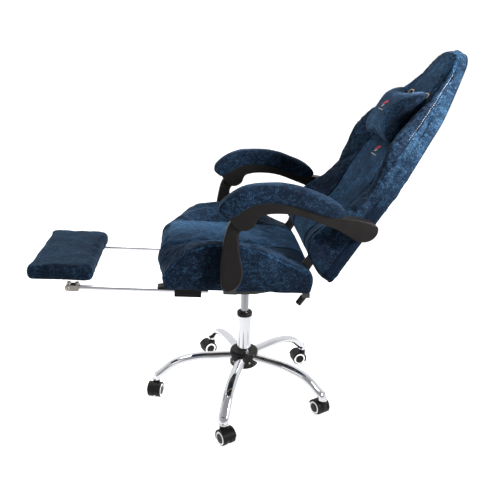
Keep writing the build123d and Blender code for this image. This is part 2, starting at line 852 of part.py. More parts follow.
with BuildPart() as back_cushion:
    with BuildSketch(back_side(-CENTRE_X)):
        with BuildLine():
            add(back_profile(BACK_CENTRE))
        make_face()
    extrude(amount=2 * CENTRE_X)
    for sign in SIDES.values():
        with BuildSketch(back_side(sign * CENTRE_X)):
            with BuildLine():
                add(back_profile(BACK_CENTRE))
            make_face()
        with BuildSketch(back_side(sign * CREST_X)):
            with BuildLine():
                add(back_profile(BACK_CREST))
            make_face()
        loft()
    with BuildSketch(back_flat(FOAM_FROM - 5)):
        with BuildLine():
            add(back_outline(0))
        make_face()
    extrude(amount=130, mode=Mode.INTERSECT)
    with BuildSketch(back_flat(FOAM_FROM - 5)):
        with BuildLine():
            add(seam_outline(GAP / 2))
        make_face()
    extrude(amount=130, mode=Mode.INTERSECT)
    with BuildSketch(back_flat(FOAM_FROM - 5)):
        with Locations((STRAP_X, STRAP_S), (-STRAP_X, STRAP_S)):
            SlotOverall(36, 14)
    extrude(amount=60, mode=Mode.SUBTRACT)
back_cushion.part.label = "back_cushion"
export_step(back_cushion.part, "parts/back_cushion.step")

for name, sign in SIDES.items():
    with BuildPart() as back_bolster:
        with BuildSketch(back_side(sign * 60)):
            with BuildLine():
                add(back_profile(BACK_CENTRE))
            make_face()
        extrude(amount=sign * (CENTRE_X - 60))
        with BuildSketch(back_side(sign * CENTRE_X)):
            with BuildLine():
                add(back_profile(BACK_CENTRE))
            make_face()
        with BuildSketch(back_side(sign * CREST_X)):
            with BuildLine():
                add(back_profile(BACK_CREST))
            make_face()
        loft()
        with BuildSketch(back_side(sign * CREST_X)):
            with BuildLine():
                add(back_profile(BACK_CREST))
            make_face()
        extrude(amount=sign * (BACK_HALF - CREST_X))
        with BuildSketch(back_flat(FOAM_FROM - 5)):
            with BuildLine():
                add(back_outline(0))
            make_face()
        extrude(amount=130, mode=Mode.INTERSECT)
        with BuildSketch(back_flat(FOAM_FROM - 5)):
            with BuildLine():
                add(seam_outline(-GAP / 2))
            make_face()
        extrude(amount=130, mode=Mode.SUBTRACT)
        with BuildSketch(back_side(sign * SLOT_X[0])):
            with Locations((55, 60)):
                Rectangle(146, 160)
        extrude(amount=sign * (SLOT_X[1] - SLOT_X[0]), mode=Mode.SUBTRACT)
    back_bolster.part.label = f"back_bolster_{name}"
    export_step(back_bolster.part, f"parts/back_bolster_{name}.step")

# ---------------------------------------------------------------- head pillow and its strap
with BuildPart() as head_pillow:
    with BuildSketch(back_side(-PILLOW_HALF)):
        with BuildLine():
            front = Spline(
                (PILLOW_LOW, 66),
                (PILLOW_LOW + 22, 92),
                (PILLOW_LOW + 70, 109),
                (PILLOW_HIGH - 60, 106),
                (PILLOW_HIGH - 20, 88),
                (PILLOW_HIGH, 66),
            )
            rear = Spline(front @ 1, (PILLOW_HIGH - 30, 49), (PILLOW_LOW + 30, 49), front @ 0)
        make_face()
    extrude(amount=2 * PILLOW_HALF)
    with BuildSketch(back_cross(PILLOW_LOW - 5)):
        with BuildLine():
            front = Spline(
                (-PILLOW_HALF, 68),
                (-PILLOW_HALF + 20, 90),
                (-60, 108),
                (0, 111),
                (60, 108),
                (PILLOW_HALF - 20, 90),
                (PILLOW_HALF, 68),
            )
            rear = Spline(front @ 1, (PILLOW_HALF - 40, 49), (40 - PILLOW_HALF, 49), front @ 0)
        make_face()
    extrude(amount=PILLOW_HIGH - PILLOW_LOW + 10, mode=Mode.INTERSECT)
    with BuildSketch(back_flat(FOAM_FROM)):
        Rectangle(400, 1600)
    extrude(amount=47.2 - FOAM_FROM, mode=Mode.SUBTRACT)
head_pillow.part.label = "head_pillow"
export_step(head_pillow.part, "parts/head_pillow.step")

with BuildPart() as pillow_strap:
    with BuildSketch(back_flat(44.6)):
        with Locations((STRAP_X, STRAP_S - 30), (-STRAP_X, STRAP_S - 30)):
            Rectangle(28, 64)
    extrude(amount=2)
    with BuildSketch(back_flat(STRAP_BEHIND)):
        with Locations((STRAP_X, STRAP_S + 1), (-STRAP_X, STRAP_S + 1)):
            Rectangle(28, 2)
    extrude(amount=46.6 - STRAP_BEHIND)
    with BuildSketch(back_flat(STRAP_BEHIND)):
        with Locations((0, STRAP_S - 5)):
            Rectangle(2 * STRAP_X + 28, 14)
    extrude(amount=1.5)
    # moulded trims round the two slots
    with BuildSketch(back_flat(42.2)):
        with Locations((STRAP_X, STRAP_S), (-STRAP_X, STRAP_S)):
            SlotOverall(46, 24)
            SlotOverall(36, 14, mode=Mode.SUBTRACT)
    extrude(amount=2)
pillow_strap.part.label = "pillow_strap"
export_step(pillow_strap.part, "parts/pillow_strap.step")

# ---------------------------------------------------------------- armrests
PAD_UPPER = (
    (-101, 767),
    (-97, 782),
    (-87, 794),
    (-64, 812),
    (-31, 829),
    (3, 837),
    (40, 839),
    (78, 838),
    (129, 829),
    (181, 812),
    (220, 795),
    (248, 778),
    (263, 763),
    (266, 752),
    (260, 744.5),
)
PAD_LOWER = (
    (260, 744.5),
    (214, 752),
    (162, 766),
    (114, 780),
    (76, 787),
    (39, 789),
    (2, 784),
    (-31, 770),
    (-58, 754),
    (-76, 747),
    (-91, 755),
    (-101, 767),
)
SHELL_TOP = (
    (-76, 745),
    (-58, 752.6),
    (-31, 768.6),
    (2, 782.6),
    (39, 787.6),
    (76, 785.6),
    (114, 778.6),
    (162, 764.6),
    (214, 750.6),
    (267, 741.2),
    (326, 731),
)
SHELL_UNDER = (
    (326, 731),
    (349, 723),
    (363, 713),
    (363, 693),
    (346, 673),
    (325, 667),
    (300, 673),
    (253, 701),
    (199, 724),
    (153, 742),
    (112, 752),
    (74, 755),
    (44, 754),
    (19, 748),
)
LOBE = (
    (19, 748),
    (8, 737),
    (3, 723),
    (-11, 709),
    (-30, 704),
    (-47, 709),
    (-60, 722),
    (-70, 736),
    (-76, 745),
)
UPRIGHT_FRONT = (
    (-77, 509),
    (-90, 517),
    (-97, 549),
    (-97, 586),
    (-92, 641),
    (-84, 685),
    (-71, 724),
    (-52, 745),
    (-28, 755),
)
UPRIGHT_BACK = (
    (-28, 755),
    (-8, 744),
    (-8, 725),
    (-24, 711),
    (-38, 699),
    (-43, 659),
    (-39, 623),
    (-32, 590),
    (-32, 556),
    (-41, 530),
    (-60, 514),
    (-77, 509),
)
for name, sign in SIDES.items():
    with BuildPart() as arm_upright:
        with BuildSketch(side(sign * UPRIGHT_IN)):
            with BuildLine():
                Spline(*UPRIGHT_FRONT)
                Spline(*UPRIGHT_BACK)
            make_face()
        extrude(amount=sign * (UPRIGHT_OUT - UPRIGHT_IN))
        fillet(arm_upright.faces().filter_by(Axis.X).edges(), UPRIGHT_EDGE)
        with BuildSketch(side(sign * UPRIGHT_IN)):
            with Locations(FOOT_PIVOT):
                Circle(ARM_PIN_R + RUN)
        extrude(amount=sign * 24, mode=Mode.SUBTRACT)
    arm_upright.part.label = f"arm_upright_{name}"
    export_step(arm_upright.part, f"parts/arm_upright_{name}.step")

    rear_yz = back_point(*REAR_PIVOT)
    with BuildPart() as arm_shell:
        with BuildSketch(side(sign * ARM_IN)):
            with BuildLine():
                Spline(*SHELL_TOP)
                Spline(*SHELL_UNDER)
                Spline(*LOBE)
            make_face()
        extrude(amount=sign * (ARM_OUT - ARM_IN))
        fillet(arm_shell.faces().filter_by(Axis.X).edges(), SHELL_EDGE)
        with BuildSketch(side(sign * POCKET_IN)):
            with BuildLine():
                Polyline(
                    (-100, 680),
                    (-100, 738),
                    (-70, 741),
                    (-50, 751),
                    (-30, 763),
                    (-6, 763),
                    (5, 752),
                    (5, 736),
                    (-5, 718),
                    (-12, 680),
                    close=True,
                )
            make_face()
        extrude(amount=sign * (POCKET_OUT - POCKET_IN), mode=Mode.SUBTRACT)
        with BuildSketch(side(sign * ARM_IN)):
            with Locations(rear_yz):
                Circle(ARM_PIN_R + RUN)
        extrude(amount=sign * 32, mode=Mode.SUBTRACT)
    arm_shell.part.label = f"arm_shell_{name}"
    export_step(arm_shell.part, f"parts/arm_shell_{name}.step")

    with BuildPart() as arm_pad:
        with BuildSketch(side(sign * (ARM_IN - 2))):
            with BuildLine():
                Spline(*PAD_UPPER)
                Spline(*PAD_LOWER)
            make_face()
        extrude(amount=sign * (ARM_OUT - ARM_IN + 4))
    arm_pad.part.label = f"arm_pad_{name}"
    export_step(arm_pad.part, f"parts/arm_pad_{name}.step")
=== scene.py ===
"""Looks of a reclining gaming chair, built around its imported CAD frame.

Metres, in the row frame: +Z up, the chair faces -Y, +X is the sitter's left.
"""
import json
import math

import bpy
import numpy as np
from mathutils import Matrix, Vector, noise
from mathutils.bvhtree import BVHTree


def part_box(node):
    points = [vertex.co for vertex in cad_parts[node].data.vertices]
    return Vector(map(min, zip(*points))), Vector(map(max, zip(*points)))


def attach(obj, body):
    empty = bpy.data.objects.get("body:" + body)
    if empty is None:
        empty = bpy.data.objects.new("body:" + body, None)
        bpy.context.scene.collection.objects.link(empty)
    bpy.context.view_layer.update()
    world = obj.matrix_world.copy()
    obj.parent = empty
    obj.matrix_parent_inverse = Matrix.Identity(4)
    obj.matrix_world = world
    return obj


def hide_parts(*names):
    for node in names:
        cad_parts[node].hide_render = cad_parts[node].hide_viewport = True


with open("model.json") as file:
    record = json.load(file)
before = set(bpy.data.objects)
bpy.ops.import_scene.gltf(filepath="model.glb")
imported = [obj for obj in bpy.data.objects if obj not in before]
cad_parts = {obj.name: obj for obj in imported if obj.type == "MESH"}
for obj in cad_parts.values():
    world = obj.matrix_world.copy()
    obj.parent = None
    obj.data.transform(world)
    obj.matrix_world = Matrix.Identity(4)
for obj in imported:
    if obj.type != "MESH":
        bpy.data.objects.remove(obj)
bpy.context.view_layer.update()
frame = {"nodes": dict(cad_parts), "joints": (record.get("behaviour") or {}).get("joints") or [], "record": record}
nodes = frame["nodes"]
scene = bpy.context.scene

# Driving dimensions, as the CAD frame has them
BACK_FOOT = Vector((0, 0.244, 0.522))
RECLINE = math.radians(32.9)
SEAT_TILT = math.radians(2.7)
SEAT_LEVEL = 0.5025
SIDES = {"left": 1, "right": -1}

ACROSS = Vector((1, 0, 0))
DOWN = Vector((0, 0, -1))
UP_BACK = Vector((0, math.sin(RECLINE), math.cos(RECLINE)))
OFF_BACK = Vector((0, -math.cos(RECLINE), math.sin(RECLINE)))
INTO_BACK = -OFF_BACK
ALONG_SEAT = (0, math.cos(SEAT_TILT), -math.sin(SEAT_TILT))
OFF_SEAT = (0, math.sin(SEAT_TILT), math.cos(SEAT_TILT))


def on_back(x, s, t):
    """World point from millimetres across the back, up it, and forward of its rear face."""
    return BACK_FOOT + (ACROSS * x + UP_BACK * s + OFF_BACK * t) / 1000


def on_seat(x, a, b):
    """World point from millimetres across the seat, rearward along it, and up from its board."""
    return Vector((0, 0, SEAT_LEVEL)) + (ACROSS * x + Vector(ALONG_SEAT) * a + Vector(OFF_SEAT) * b) / 1000


# ------------------------------------------------------------------ camera
CAMERA_AT = (2.01796, -0.15814, 1.24651)
CAMERA_HEADING, CAMERA_PITCH, CAMERA_ROLL = 85.604, 18.718, 1.039
LENS = 46.1

camera_data = bpy.data.cameras.new("camera")
camera_data.lens = LENS
camera_data.sensor_width = 36
camera = bpy.data.objects.new("camera", camera_data)
scene.collection.objects.link(camera)
camera.matrix_world = (
    Matrix.Translation(CAMERA_AT)
    @ Matrix.Rotation(math.radians(CAMERA_HEADING), 4, "Z")
    @ Matrix.Rotation(math.radians(90 - CAMERA_PITCH), 4, "X")
    @ Matrix.Rotation(math.radians(CAMERA_ROLL), 4, "Z")
)
scene.camera = camera


# ------------------------------------------------------------------ node helpers
def map_range(tree, value, low, high, top=1.0):
    """A socket that runs from 0 to top as value runs from low to high."""
    node = tree.nodes.new("ShaderNodeMapRange")
    node.inputs["From Min"].default_value = low
    node.inputs["From Max"].default_value = high
    node.inputs["To Max"].default_value = top
    tree.links.new(value, node.inputs["Value"])
    return node.outputs["Result"]


class Shader:
    """A node material under construction, with short calls for the nodes used here."""

    def __init__(self, name):
        self.material = bpy.data.materials.new(name)
        self.material.use_nodes = True
        self.tree = self.material.node_tree
        self.surface = self.tree.nodes["Principled BSDF"]
        self.place = self.tree.nodes.new("ShaderNodeTexCoord").outputs["Object"]

    def set(self, **values):
        for name, value in values.items():
            self.surface.inputs[name.replace("_", " ")].default_value = value

    def link(self, source, target):
        self.tree.links.new(source, target)

    def axis(self, letter):
        """One of the object coordinates."""
        node = self.tree.nodes.new("ShaderNodeSeparateXYZ")
        self.link(self.place, node.inputs["Vector"])
        return node.outputs[letter]

    def stretched(self, scale):
        """Object coordinates, scaled differently along each axis."""
        node = self.tree.nodes.new("ShaderNodeMapping")
        node.inputs["Scale"].default_value = scale
        self.link(self.place, node.inputs["Vector"])
        return node.outputs["Vector"]

    def noise(self, scale, detail=3.0, roughness=0.5, vector=None, distortion=0.0):
        node = self.tree.nodes.new("ShaderNodeTexNoise")
        node.inputs["Scale"].default_value = scale
        node.inputs["Detail"].default_value = detail
        node.inputs["Roughness"].default_value = roughness
        node.inputs["Distortion"].default_value = distortion
        self.link(vector or self.place, node.inputs["Vector"])
        return node.outputs["Fac"]

    def cells(self, scale, vector):
        node = self.tree.nodes.new("ShaderNodeTexVoronoi")
        node.inputs["Scale"].default_value = scale
        self.link(vector, node.inputs["Vector"])
        return node.outputs["Distance"]

    def ramp(self, value, stops):
        node = self.tree.nodes.new("ShaderNodeValToRGB")
        first, *rest = stops
        ramp = node.color_ramp
        ramp.elements[0].position, ramp.elements[0].color = first[0], colour(first[1])
        ramp.elements[1].position, ramp.elements[1].color = rest[-1][0], colour(rest[-1][1])
        for position, value_at in rest[:-1]:
            ramp.elements.new(position).color = colour(value_at)
        self.link(value, node.inputs["Fac"])
        return node.outputs["Color"]

    def math(self, operation, a, b=None):
        node = self.tree.nodes.new("ShaderNodeMath")
        node.operation = operation
        for socket, value in zip(node.inputs, (a, b)):
            if isinstance(value, (int, float)):
                socket.default_value = value
            elif value is not None:
                self.link(value, socket)
        return node.outputs["Value"]

    def mix(self, factor, a, b):
        node = self.tree.nodes.new("ShaderNodeMix")
        node.data_type = "RGBA"
        for name, value in (("Factor", factor), ("A", a), ("B", b)):
            self.link(value, [s for s in node.inputs if s.name == name and s.enabled][0])
        return [s for s in node.outputs if s.enabled][0]

    def bump(self, height, strength, distance):
        node = self.tree.nodes.new("ShaderNodeBump")
        node.inputs["Strength"].default_value = strength
        node.inputs["Distance"].default_value = distance
        self.link(height, node.inputs["Height"])
        self.link(node.outputs["Normal"], self.surface.inputs["Normal"])

    def feed(self, **sources):
        for name, source in sources.items():
            self.link(source, self.surface.inputs[name.replace("_", " ")])


def colour(value):
    """RGBA from a grey level or an RGB tuple."""
    if isinstance(value, (int, float)):
        value = (value, value, value)
    return (*value[:3], 1.0)


# ------------------------------------------------------------------ materials
def chenille(name, dark, mid, light, sheen, painted_shade_heights=None):
    """Crushed velour: fine speckled pile over broad brushed patches.

    The pair of heights given last marks painted shade: between them it darkens downwards.
    """
    m = Shader(name)
    pile = m.noise(330, 4, 0.65, m.stretched((1, 1, 0.62)))
    tuft = m.noise(120, 3, 0.6, m.stretched((1, 0.7, 1)))
    brushed = m.noise(9, 3, 0.6, distortion=0.6)
    streak = m.noise(62, 4, 0.7, m.stretched((1, 0.45, 1)))
    grain = m.math("ADD", m.math("MULTIPLY", pile, 0.62), m.math("MULTIPLY", tuft, 0.38))
    broad = m.math("ADD", m.math("MULTIPLY", m.math("SUBTRACT", brushed, 0.5), 0.30),
                   m.math("MULTIPLY", m.math("SUBTRACT", streak, 0.5), 0.24))
    shade = m.math("ADD", grain, broad)
    base = m.ramp(shade, [(0.38, dark), (0.52, mid), (0.67, light)])
    # Painted shade: from the upper height down to the lower one the colour turns to a darker ramp, and it stays
    # dark below.
    if painted_shade_heights:
        below = m.ramp(shade, [(0.38, dark), (0.52, dark), (0.70, mid)])
        base = m.mix(map_range(m.tree, m.axis("Z"), *painted_shade_heights), below, base)
    m.feed(Base_Color=base)
    m.set(Roughness=0.82, Sheen_Weight=sheen, Sheen_Roughness=0.38)
    m.set(Sheen_Tint=colour((0.28, 0.55, 0.95)), Specular_IOR_Level=0.06)
    m.bump(grain, 0.55, 0.0016)
    return m.material


def moulded_plastic(name, shade, roughness, grain=0.25):
    """Fine-grained plastic with slow patches of polish."""
    m = Shader(name)
    fine = m.noise(900, 2, 0.5)
    wear = m.noise(24, 4, 0.6)
    base = m.ramp(wear, [(0.3, tuple(c * 0.8 for c in shade)), (0.75, tuple(c * 1.3 for c in shade))])
    rough = m.math("ADD", m.math("MULTIPLY", wear, 0.16), roughness - 0.08)
    m.feed(Base_Color=base, Roughness=rough)
    m.set(Specular_IOR_Level=0.16)
    m.bump(fine, grain, 0.0003)
    return m.material


def plated(name, shade, roughness, brushed=None):
    """Bright metal with faint hazing, or fine turned lines where brushed is a stretch."""
    m = Shader(name)
    haze = m.noise(14, 4, 0.6)
    rough = m.math("ADD", m.math("MULTIPLY", haze, roughness), roughness * 0.5)
    base = m.ramp(haze, [(0.3, tuple(c * 0.93 for c in shade)), (0.7, shade)])
    m.feed(Base_Color=base, Roughness=rough)
    m.set(Metallic=1.0)
    lines = m.noise(260, 2, 0.5, m.stretched(brushed)) if brushed else m.noise(500, 2, 0.5)
    m.bump(lines, 0.12 if brushed else 0.02, 0.0002)
    return m.material


def powder_coat(name, shade):
    """Satin coating with a slight orange peel."""
    m = Shader(name)
    peel = m.noise(520, 2, 0.5)
    tone = m.noise(16, 3, 0.6)
    m.feed(Base_Color=m.ramp(tone, [(0.3, tuple(c * 0.75 for c in shade)), (0.75, shade)]))
    m.set(Roughness=0.46)
    m.bump(peel, 0.3, 0.0004)
    return m.material


def plywood(name):
    m = Shader(name)
    rings = m.noise(18, 5, 0.65, m.stretched((6, 0.8, 6)), 0.8)
    m.feed(Base_Color=m.ramp(rings, [(0.3, (0.36, 0.23, 0.11)), (0.7, (0.62, 0.46, 0.27))]))
    m.set(Roughness=0.7)
    m.bump(rings, 0.2, 0.0006)
    return m.material


def thread(name, shade):
    m = Shader(name)
    twist = m.noise(1400, 2, 0.6)
    m.feed(Base_Color=m.ramp(twist, [(0.3, tuple(c * 0.6 for c in shade)), (0.7, shade)]))
    m.set(Roughness=0.8)
    m.bump(twist, 0.6, 0.0004)
    return m.material


def webbing(name, shade):
    m = Shader(name)
    ribs = m.cells(700, m.stretched((1, 0.35, 1)))
    m.feed(Base_Color=m.ramp(ribs, [(0.1, tuple(c * 0.5 for c in shade)), (0.6, shade)]))
    m.set(Roughness=0.85)
    m.bump(ribs, 0.6, 0.0005)
    return m.material


BLUE = chenille("blue_fabric", (0.0010, 0.0042, 0.0120), (0.0052, 0.0190, 0.0430), (0.030, 0.090, 0.170), 0.15)
NAVY = chenille("navy_fabric", (0.0010, 0.0028, 0.0070), (0.0036, 0.0092, 0.0200), (0.018, 0.046, 0.088), 0.12)
# The side band's fabric, with painted shade darkening it from 0.95 m down to 0.74 m.
BAND = chenille("band_fabric", (0.0010, 0.0036, 0.0100), (0.0052, 0.0165, 0.0350), (0.036, 0.084, 0.140), 0.15,
                (0.74, 0.95))
BLACK = moulded_plastic("black_plastic", (0.0060, 0.0052, 0.0050), 0.44)
CASTER = moulded_plastic("caster_black", (0.0060, 0.0055, 0.0055), 0.34, 0.1)
WHITE = moulded_plastic("white_plastic", (0.78, 0.78, 0.77), 0.35, 0.1)
CHROME = plated("chrome", (0.66, 0.67, 0.70), 0.045)
PISTON = plated("piston_steel", (0.30, 0.31, 0.33), 0.20, (1, 1, 12))
ZINC = plated("zinc_steel", (0.42, 0.40, 0.36), 0.30, (6, 1, 1))
COATED = powder_coat("black_steel", (0.022, 0.022, 0.023))
BOARD = powder_coat("black_board", (0.028, 0.027, 0.026))
PLYWOOD = plywood("plywood")
CREAM = thread("cream_thread", (0.46, 0.43, 0.37))
RED_THREAD = thread("red_thread", (0.35, 0.010, 0.030))
STRAP = webbing("strap_webbing", (0.020, 0.035, 0.075))
BEIGE = moulded_plastic("beige_trim", (0.42, 0.31, 0.24), 0.45, 0.2)

SHARP_CAD, SHARP_PIECE = math.radians(32), math.radians(40)

FINISHES = {
    "chrome": CHROME,
    "black_plastic": BLACK,
    "caster_plastic": CASTER,
    "white_plastic": WHITE,
    "piston_steel": PISTON,
    "zinc_steel": ZINC,
    "black_steel": COATED,
    "plywood": PLYWOOD,
    "black_board": BOARD,
    "blue_fabric": BLUE,
    "navy_fabric": NAVY,
    "strap_webbing": STRAP,
}


def dress_cad_nodes():
    """Gives every CAD node its record slot's finish, with smooth shading that keeps hard edges."""
    slots = {row["node"]: row["material_slot"] for row in frame["record"]["subparts"]}
    for name, obj in nodes.items():
        finish = FINISHES[slots[name]]
        obj.data.materials.clear()
        obj.data.materials.append(finish)
        obj.data.shade_smooth()
        obj.data.set_sharp_from_angle(angle=SHARP_CAD)


dress_cad_nodes()


# ------------------------------------------------------------------ mesh helpers
def new_piece(name, points, faces, finish, body, slot):
    """A smooth mesh piece in world metres that rides on a body."""
    mesh = bpy.data.meshes.new(name)
    mesh.from_pydata([tuple(p) for p in points], [], faces)
    mesh.materials.append(finish)
    mesh.shade_smooth()
    mesh.set_sharp_from_angle(angle=SHARP_PIECE)
    obj = bpy.data.objects.new(name, mesh)
    scene.collection.objects.link(obj)
    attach(obj, body)
    return obj


CURVE_STEPS = 16


def smooth_path(points, step):
    """Evenly spaced points on a smooth curve through the given ones."""
    ends = [2 * points[0] - points[1], *points, 2 * points[-1] - points[-2]]
    dense = []
    for before, a, b, after in zip(ends, ends[1:], ends[2:], ends[3:]):
        for k in range(CURVE_STEPS):
            u = k / CURVE_STEPS
            dense.append(
                0.5 * (2 * a + (b - before) * u + (2 * before - 5 * a + 4 * b - after) * u**2
                       + (3 * a - before - 3 * b + after) * u**3)
            )
    dense.append(points[-1])
    spaced, left = [dense[0]], step
    for a, b in zip(dense, dense[1:]):
        span = (b - a).length
        while span > 0 and left <= span:
            spaced.append(a.lerp(b, left / span))
            left += step
        left -= span
    return spaced


def bridged(rings, sides, closed=False):
    """Faces between neighbouring rings of a swept shape, with its two ends capped unless it is closed."""
    faces = []
    for k in range(rings if closed else rings - 1):
        a, b = k * sides, (k + 1) % rings * sides
        faces += [(a + j, a + (j + 1) % sides, b + (j + 1) % sides, b + j) for j in range(sides)]
    if not closed:
        faces.append(tuple(reversed(range(sides))))
        faces.append(tuple(range((rings - 1) * sides, rings * sides)))
    return faces


def tube(points, radius, sides=8, closed=False):
    """Vertices and faces of a round tube along points."""
    count = len(points)
    verts = []
    side = None
    for k, point in enumerate(points):
        after = points[(k + 1) % count] if closed or k + 1 < count else point
        before = points[k - 1] if closed or k else point
        along = (after - before).normalized()
        if side is None:
            side = along.orthogonal()
        side = (side - along * side.dot(along)).normalized()
        other = along.cross(side)
        for j in range(sides):
            angle = 2 * math.pi * j / sides
            verts.append(point + (side * math.cos(angle) + other * math.sin(angle)) * radius)
    return verts, bridged(count, sides, closed)


def joined(shapes):
    """Several (vertices, faces) as one."""
    verts, faces = [], []
    for some, rows in shapes:
        offset = len(verts)
        verts += some
        faces += [tuple(i + offset for i in row) for row in rows]
    return verts, faces


def lathe(profile, at, axis, sides=40):
    """A turned shape: (radius, height) pairs along axis from the point at."""
    axis = Vector(axis).normalized()
    side = axis.orthogonal().normalized()
    other = axis.cross(side)
    verts = []
    for radius, height in profile:
        for j in range(sides):
            angle = 2 * math.pi * j / sides
            spoke = side * math.cos(angle) + other * math.sin(angle)
            verts.append(Vector(at) + axis * height + spoke * radius)
    return verts, bridged(len(profile), sides)


# ------------------------------------------------------------------ padded pieces
SIM_FRAMES = 20
PRESSURE = 4.0
AXES = 3

pads = {}


def read(items, attribute):
    """A three-part attribute of a mesh's vertices or faces, as one row each."""
    flat = np.empty(len(items) * AXES)
    items.foreach_get(attribute, flat)
    return flat.reshape(-1, AXES)


def coordinates(mesh):
    return read(mesh.vertices, "co")


def normals(mesh):
    return read(mesh.vertices, "normal")


def place(mesh, points):
    mesh.vertices.foreach_set("co", points.reshape(-1))
    mesh.update()


def relaxed(mesh, points, rounds, strength=0.5):
    """Points eased towards their neighbours, which rounds hard edges off."""
    pairs = np.empty(len(mesh.edges) * 2, dtype=np.int64)
    mesh.edges.foreach_get("vertices", pairs)
    one, two = pairs.reshape(-1, 2).T
    near = np.bincount(np.concatenate((one, two)), minlength=len(points))[:, None]
    for _ in range(rounds):
        total = np.empty_like(points)
        for axis in range(AXES):
            column = points[:, axis]
            total[:, axis] = np.bincount(
                np.concatenate((one, two)), np.concatenate((column[two], column[one])), len(points)
            )
        points = points + strength * (total / near - points)
    return points


def back_frame_of(points):
    """Across, up the back and forward of its rear face, in millimetres."""
    away = points - np.array(BACK_FOOT)
    return away[:, 0] * 1000, away @ np.array(UP_BACK) * 1000, away @ np.array(OFF_BACK) * 1000


def make_pad(node, body, slot, finish, voxel, rounds, cap, fill, held, shrink=0.0015, also=(),
             wrap=None, room=0.006):
    """Copies a CAD soft solid, remeshes it evenly, rounds it and readies it for the cloth run.

    cap is how far its points may swell, held how firmly each is sewn down, and room how far the
    pad may pass its solids' box.
    """
    shapes = []
    for source in (node, *also):
        data = nodes[source].data
        shapes.append(([v.co.copy() for v in data.vertices], [tuple(p.vertices) for p in data.polygons]))
    verts, faces = joined(shapes)
    mesh = bpy.data.meshes.new(f"{node}_soft")
    mesh.from_pydata(verts, [], faces)
    piece = bpy.data.objects.new(f"{node}_soft", mesh)
    scene.collection.objects.link(piece)
    bpy.ops.object.select_all(action="DESELECT")
    piece.select_set(True)
    bpy.context.view_layer.objects.active = piece
    mesh.remesh_voxel_size = voxel
    bpy.ops.object.voxel_remesh()
    mesh = piece.data
    mesh.materials.clear()
    mesh.materials.append(finish)
    points = relaxed(mesh, coordinates(mesh), rounds)
    place(mesh, points)
    points = points - normals(mesh) * shrink
    if wrap is not None:
        points = wrap(points)
    place(mesh, points)
    pads[node] = {"piece": piece, "start": points, "cap": cap, "held": held(points), "body": body, "slot": slot,
                  "fill": fill, "stands_for": (node, *also), "room": room}


PIN_STEP = 0.25


def ready_cloth(pad):
    """Gives a pad its cloth, pinned by its held weights in four steps."""
    piece = pad["piece"]
    group = piece.vertex_groups.new(name="sewn")
    for weight in (0.25, 0.5, 0.75, 1.0):
        low = weight - PIN_STEP / 2
        chosen = np.nonzero((pad["held"] >= low) & (pad["held"] < low + PIN_STEP))[0]
        group.add(chosen.tolist(), weight, "REPLACE")
    cloth = piece.modifiers.new("cloth", "CLOTH").settings
    cloth.quality = 4
    cloth.mass = 0.25
    cloth.tension_stiffness = cloth.compression_stiffness = 14
    cloth.shear_stiffness = 6
    cloth.bending_stiffness = 0.6
    cloth.use_pressure = True
    cloth.uniform_pressure_force = PRESSURE
    cloth.shrink_min = -0.035
    cloth.vertex_group_mass = group.name
    cloth.effector_weights.gravity = 0


def settle(pad, points):
    """Caps how far the cloth moved, evens it out and keeps it in its solids' box, plus the wrap's depth."""
    piece = pad["piece"]
    piece.modifiers.clear()
    piece.vertex_groups.clear()
    move = points - pad["start"]
    length = np.linalg.norm(move, axis=1)[:, None]
    move = move * np.minimum(1, pad["cap"] / np.maximum(length, 1e-9))
    settled = relaxed(piece.data, pad["start"] + move, 1, 0.35)
    boxes = [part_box(node) for node in pad["stands_for"]]
    for axis, below in enumerate((0, 0, BOARD_DEPTH / 1000)):
        low = min(box[0][axis] for box in boxes) - pad["room"]
        high = max(box[1][axis] for box in boxes) + pad["room"]
        settled[:, axis] = np.clip(settled[:, axis], low - below, high)
    place(piece.data, settled)


def subdivide(piece):
    modifier = piece.modifiers.new("fine", "SUBSURF")
    modifier.levels = modifier.render_levels = 1
    bpy.context.view_layer.objects.active = piece
    bpy.ops.object.modifier_apply(modifier=modifier.name)
    piece.data.shade_smooth()


def inflate_pads():
    """Runs every pad's cloth together, then subdivides the pads."""
    for pad in pads.values():
        ready_cloth(pad)
    for frame_number in range(1, SIM_FRAMES + 1):
        scene.frame_set(frame_number)
    graph = bpy.context.evaluated_depsgraph_get()
    blown = {node: coordinates(pad["piece"].evaluated_get(graph).data) for node, pad in pads.items()}
    for node, pad in pads.items():
        settle(pad, blown[node])
    scene.frame_set(1)
    for pad in pads.values():
        subdivide(pad["piece"])


def held_where(*tests):
    """Sewn or resting points, from tests that give 0 to 1 over all points."""

    def rule(points):
        return np.clip(np.max([test(points) for test in tests], axis=0), 0, 1)

    return rule


def loose(points):
    """Held nowhere."""
    return np.zeros(len(points))


def near_seam_x(x, width):
    """Held at a distance x from the chair's middle plane."""
    return lambda points: 1 - (np.abs(np.abs(points[:, 0]) - x / 1000) * 1000) / width


def near_back_seam(width):
    """Held along the seams between the back's centre and its bolsters."""

    def rule(points):
        x, s, _ = back_frame_of(points)
        return 1 - np.abs(np.abs(x) - np.interp(s, *SEAM_CURVE)) / width

    return rule


def behind(t, width):
    """Held where a pad of the back lies on what is behind it, t forward of the back's rear face."""

    def rule(points):
        return (t + width - back_frame_of(points)[2]) / width

    return rule


# Where the pads are held, in millimetres: the back's seams, as heights and half widths, the seat's two seams
# and the widths held along a seam and an edge, the rear faces of foam and pillow, the wrap of the plywood, and
# the heights where the footrest's cover is held and free. The recline pivot, as (y, z), and its radii are in
# metres.
SEAM_CURVE = (
    (-20, 180, 250, 330, 400, 480, 600, 700, 760, 820),
    (122, 122, 134, 148, 140, 124, 112, 96, 84, 76),
)
CENTRE_HALF, WING_SEAM, SEAM_WIDE, EDGE_WIDE = 125, 205, 9, 12
FOAM_REST, PILLOW_REST = 24, 47
BOARD_DEPTH, WRAP_FROM, WRAP_HELD = 15.2, 20.0, 8
FOOTREST_HELD, FOOTREST_FREE = -16.5, -13.5
HINGE_YZ, HINGE_EASE, SEAT_HINGE, BACK_HINGE = np.array((0.190, 0.588)), 0.03, 0.10, 0.13


